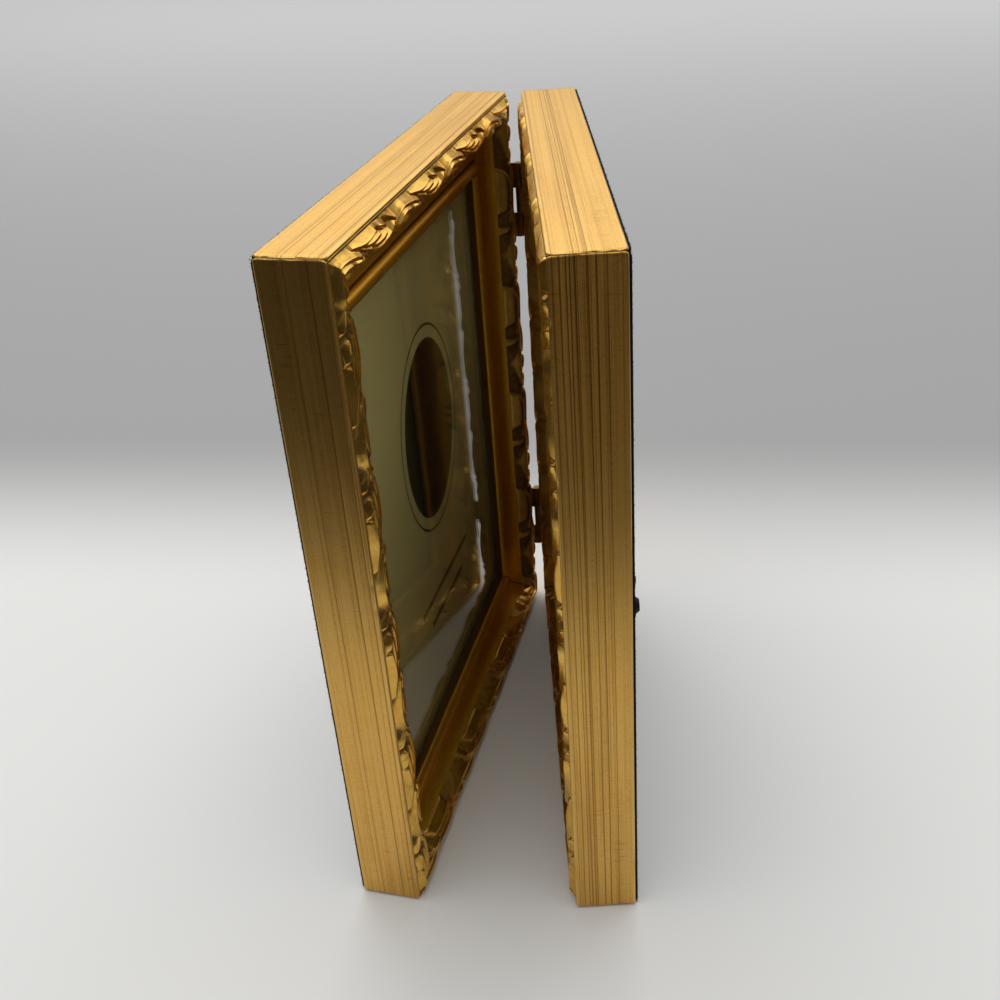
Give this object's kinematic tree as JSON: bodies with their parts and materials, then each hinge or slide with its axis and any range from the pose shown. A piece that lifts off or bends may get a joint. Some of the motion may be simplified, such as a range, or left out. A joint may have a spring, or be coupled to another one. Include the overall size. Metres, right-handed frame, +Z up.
{
  "type": "hinged double photo frame",
  "caption": "Double gilt photo frame that opens like a book on small brass hinges, with leaf-scroll mouldings, glass fronts and black velvet backs.",
  "frame": {"origin": "middle of the footprint's bounding box, on the table", "axes": "+Z up along the hinge pins, +Y towards the hinges, -Y towards the free edges, +X from the left frame to the right one"},
  "size_m": [0.0922, 0.171, 0.22],
  "materials": {
    "gilt_wood": "worn gilding over red ground, burnished, streaked with umber",
    "gilt_ornament": "gilded composition, burnished high points, dark recesses",
    "clear_glass": "clear float glass",
    "printed_card": "smooth cream card",
    "grey_board": "rough grey pulp board",
    "fibre_panel": "bare fibreboard",
    "black_velvet": "short black pile",
    "bright_steel": "bare strip",
    "black_steel": "black lacquer, worn at the edges",
    "aged_brass": "antiqued, dark in the corners"
  },
  "bodies": {
    "left_frame": {"left_bottom_rail": "gilt_wood", "left_bottom_rail_ornament": "gilt_ornament", "left_hinge_stile": "gilt_wood", "left_hinge_stile_ornament": "gilt_ornament", "left_top_rail": "gilt_wood", "left_top_rail_ornament": "gilt_ornament", "left_free_stile": "gilt_wood", "left_free_stile_ornament": "gilt_ornament", "left_glass": "clear_glass", "left_photo_card": "printed_card", "left_packing_board": "grey_board", "left_back_panel": "fibre_panel", "left_panel_velvet": "black_velvet", "left_back_border": "black_velvet", "left_corner_wedges": "bright_steel", "left_button_screws": "black_steel", "lower_hinge_left_leaf": "aged_brass", "lower_hinge_pin": "aged_brass", "upper_hinge_left_leaf": "aged_brass", "upper_hinge_pin": "aged_brass"},
    "right_frame": {"right_bottom_rail": "gilt_wood", "right_bottom_rail_ornament": "gilt_ornament", "right_free_stile": "gilt_wood", "right_free_stile_ornament": "gilt_ornament", "right_top_rail": "gilt_wood", "right_top_rail_ornament": "gilt_ornament", "right_hinge_stile": "gilt_wood", "right_hinge_stile_ornament": "gilt_ornament", "right_glass": "clear_glass", "right_photo_card": "printed_card", "right_packing_board": "grey_board", "right_back_panel": "fibre_panel", "right_panel_velvet": "black_velvet", "right_back_border": "black_velvet", "right_corner_wedges": "bright_steel", "right_button_screws": "black_steel", "lower_hinge_right_leaf": "aged_brass", "upper_hinge_right_leaf": "aged_brass"},
    "left_hinge_turn_button": {"left_hinge_stile_button": "black_steel"},
    "left_free_turn_button": {"left_free_stile_button": "black_steel"},
    "right_free_turn_button": {"right_free_stile_button": "black_steel"},
    "right_hinge_turn_button": {"right_hinge_stile_button": "black_steel"}
  },
  "joints": [
    {"name": "frame_hinge", "type": "hinge", "parent": "left_frame", "child": "right_frame", "pos_m": [0, 0.08402, 0.11], "axis": [0, 0, 1], "range_deg": [-15.5, 164.5]},
    {"name": "left_hinge_turn", "type": "hinge", "parent": "left_frame", "child": "left_hinge_turn_button", "pos_m": [-0.02408, 0.07316, 0.11], "axis": [-0.9909, 0.1349, 0], "continuous": true},
    {"name": "left_free_turn", "type": "hinge", "parent": "left_frame", "child": "left_free_turn_button", "pos_m": [-0.04364, -0.07051, 0.11], "axis": [-0.9909, 0.1349, 0], "continuous": true},
    {"name": "right_free_turn", "type": "hinge", "parent": "right_frame", "child": "right_free_turn_button", "pos_m": [0.04364, -0.07051, 0.11], "axis": [0.9909, 0.1349, 0], "continuous": true},
    {"name": "right_hinge_turn", "type": "hinge", "parent": "right_frame", "child": "right_hinge_turn_button", "pos_m": [0.02408, 0.07316, 0.11], "axis": [0.9909, 0.1349, 0], "continuous": true}
  ]
}
